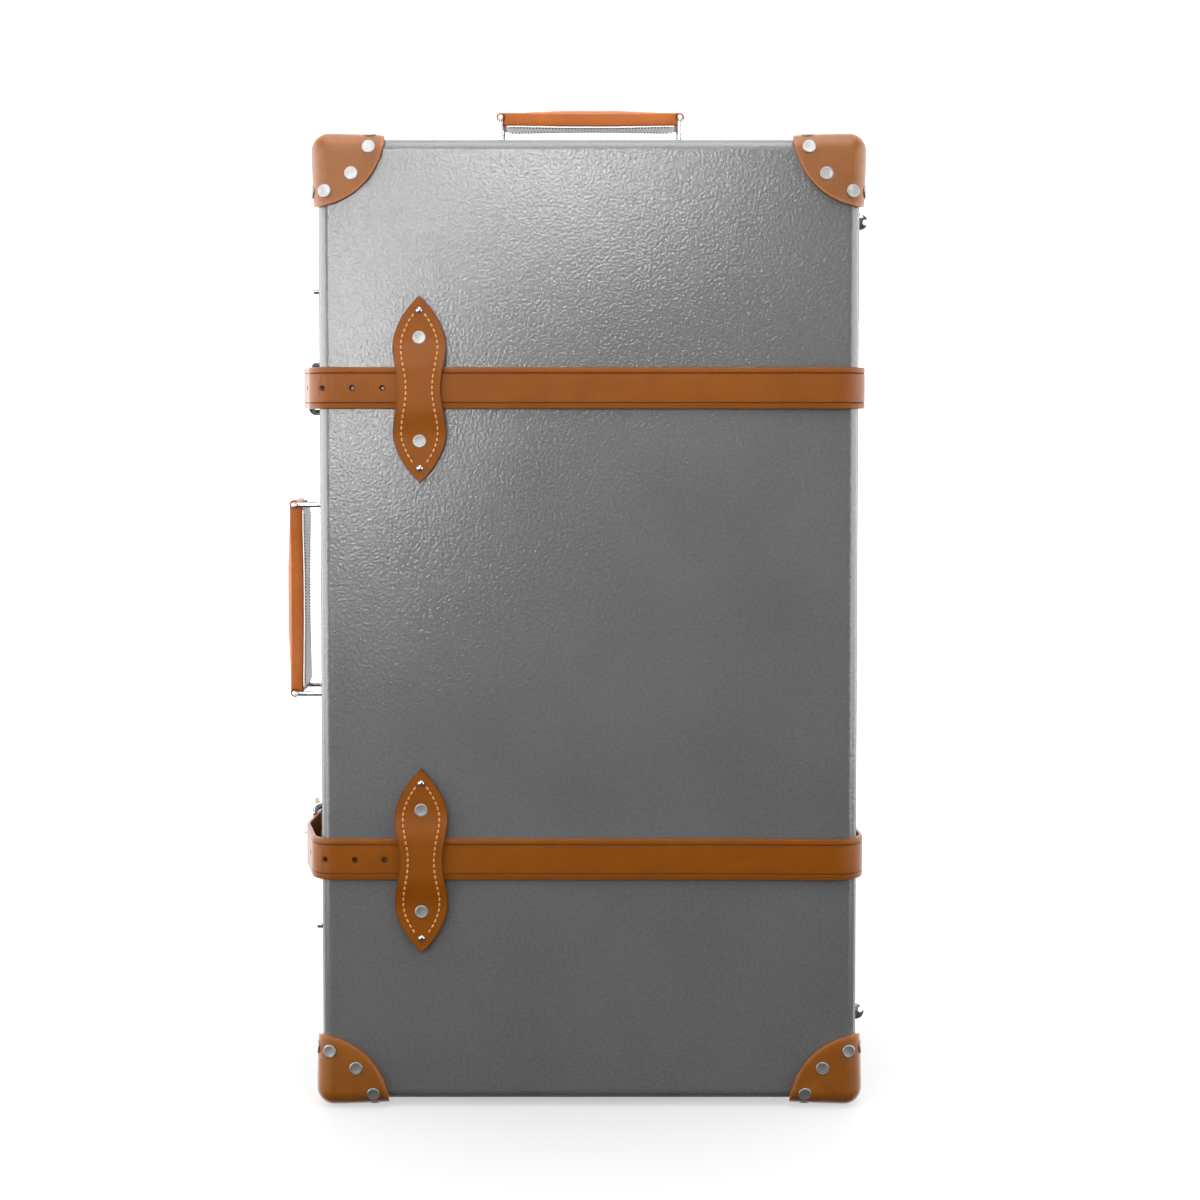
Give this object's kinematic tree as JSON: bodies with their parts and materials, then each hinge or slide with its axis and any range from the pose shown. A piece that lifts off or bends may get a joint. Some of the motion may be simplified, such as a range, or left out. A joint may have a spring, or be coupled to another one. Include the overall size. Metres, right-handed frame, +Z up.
{
  "type": "suitcase",
  "caption": "Upright fibreboard suitcase with moulded leather corners, buckled leather straps in keepers, hinged lid, hasp locks and leather handles on wire rings.",
  "frame": {"origin": "under the middle of the whole object's box, in the plane of the lower corners that it stands on", "axes": "+Z up along the long side, -Y out of the lid's face, +X towards the hinge side"},
  "size_m": [0.5367, 0.264, 0.8948],
  "materials": {
    "grey_fibre": "pebbled, satin",
    "tan_leather": "smooth, waxed",
    "handle_leather": "smooth, waxed",
    "chrome": "polished",
    "nickel": "satin nickel",
    "ash_wood": "bare",
    "lining_paper": "pasted in, matt"
  },
  "bodies": {
    "base": {"back_keeper_lower": "tan_leather", "back_keeper_upper": "tan_leather", "base_corner_bottom_left": "tan_leather", "base_corner_bottom_right": "tan_leather", "base_corner_top_left": "tan_leather", "base_corner_top_right": "tan_leather", "base_feet": "chrome", "base_frame": "ash_wood", "base_keeper_nails": "nickel", "base_leather_rivets": "nickel", "base_lining": "lining_paper", "base_plate_rivets": "nickel", "base_shell": "grey_fibre", "buckle_frame_lower": "chrome", "buckle_frame_upper": "chrome", "hinge_base_leaves": "chrome", "hinge_pins": "chrome", "lock_case_lower": "chrome", "lock_case_upper": "chrome", "side_handle_plate_lower": "chrome", "side_handle_plate_upper": "chrome", "strap_lower_base": "tan_leather", "strap_lower_tail": "tan_leather", "strap_upper_base": "tan_leather", "strap_upper_tail": "tan_leather", "top_handle_plate_left": "chrome", "top_handle_plate_right": "chrome"},
    "lid": {"lid_shell": "grey_fibre", "lid_frame": "ash_wood", "lid_lining": "lining_paper", "lid_corner_top_left": "tan_leather", "lid_corner_top_right": "tan_leather", "lid_corner_bottom_left": "tan_leather", "lid_corner_bottom_right": "tan_leather", "lid_leather_rivets": "nickel", "lid_keeper_nails": "nickel", "lid_plate_rivets": "nickel", "front_keeper_upper": "tan_leather", "front_keeper_lower": "tan_leather", "strap_upper_lid": "tan_leather", "strap_lower_lid": "tan_leather", "lid_feet": "chrome", "hinge_lid_leaves": "chrome", "lock_hasp_plate_upper": "chrome", "lock_hasp_plate_lower": "chrome"},
    "hasp_upper": {"lock_hasp_upper": "chrome"},
    "hasp_lower": {"lock_hasp_lower": "chrome"},
    "slide_upper": {"lock_slide_upper": "chrome"},
    "slide_lower": {"lock_slide_lower": "chrome"},
    "side_ring_upper": {"side_handle_ring_upper": "chrome"},
    "side_ring_lower": {"side_handle_ring_lower": "chrome"},
    "side_grip": {"side_handle_grip": "handle_leather"},
    "top_ring_left": {"top_handle_ring_left": "chrome"},
    "top_ring_right": {"top_handle_ring_right": "chrome"},
    "top_grip": {"top_handle_grip": "handle_leather"},
    "prong_upper": {"buckle_prong_upper": "chrome"},
    "prong_lower": {"buckle_prong_lower": "chrome"}
  },
  "joints": [
    {"name": "lid_hinge", "type": "hinge", "parent": "base", "child": "lid", "pos_m": [0.2623, -0.02, 0.425], "axis": [0, 0, 1], "range_deg": [0, 170]},
    {"name": "hasp_upper_swing", "type": "hinge", "parent": "lid", "child": "hasp_upper", "pos_m": [-0.2168, -0.028, 0.701], "axis": [0, 0, 1], "range_deg": [0, 110]},
    {"name": "slide_upper_push", "type": "slide", "parent": "base", "child": "slide_upper", "axis": [0, 0, 1], "range_m": [0, 0.004], "stiffness_N_per_m": 250},
    {"name": "prong_upper_lift", "type": "hinge", "parent": "base", "child": "prong_upper", "pos_m": [-0.2202, 0.014, 0.63], "axis": [0, 0, -1], "range_deg": [0, 8]},
    {"name": "hasp_lower_swing", "type": "hinge", "parent": "lid", "child": "hasp_lower", "pos_m": [-0.2168, -0.028, 0.149], "axis": [0, 0, 1], "range_deg": [0, 110]},
    {"name": "slide_lower_push", "type": "slide", "parent": "base", "child": "slide_lower", "axis": [0, 0, -1], "range_m": [0, 0.004], "stiffness_N_per_m": 250},
    {"name": "prong_lower_lift", "type": "hinge", "parent": "base", "child": "prong_lower", "pos_m": [-0.2202, 0.014, 0.22], "axis": [0, 0, -1], "range_deg": [0, 8]},
    {"name": "side_handle_swing", "type": "hinge", "parent": "base", "child": "side_ring_upper", "pos_m": [-0.2177, 0.042, 0.5215], "axis": [0, 1, 0], "range_deg": [-65, 65]},
    {"name": "side_handle_lower_ring_turn", "type": "hinge", "parent": "base", "child": "side_ring_lower", "pos_m": [-0.2177, 0.042, 0.3435], "axis": [0, 1, 0], "range_deg": [-65, 65]},
    {"name": "side_grip_turn", "type": "hinge", "parent": "side_ring_upper", "child": "side_grip", "pos_m": [-0.2577, 0.042, 0.5215], "axis": [0, 1, 0], "range_deg": [-65, 65]},
    {"name": "top_handle_swing", "type": "hinge", "parent": "base", "child": "top_ring_left", "pos_m": [-0.0617, 0.042, 0.8495], "axis": [0, 1, 0], "range_deg": [-65, 65]},
    {"name": "top_handle_right_ring_turn", "type": "hinge", "parent": "base", "child": "top_ring_right", "pos_m": [0.1053, 0.042, 0.8495], "axis": [0, 1, 0], "range_deg": [-65, 65]},
    {"name": "top_grip_turn", "type": "hinge", "parent": "top_ring_left", "child": "top_grip", "pos_m": [-0.0617, 0.042, 0.884], "axis": [0, 1, 0], "range_deg": [-65, 65]}
  ],
  "couplings": [
    {"joint": "side_handle_lower_ring_turn", "follows": "side_handle_swing", "ratio": 1},
    {"joint": "side_grip_turn", "follows": "side_handle_swing", "ratio": -1},
    {"joint": "top_handle_right_ring_turn", "follows": "top_handle_swing", "ratio": 1},
    {"joint": "top_grip_turn", "follows": "top_handle_swing", "ratio": -1}
  ]
}
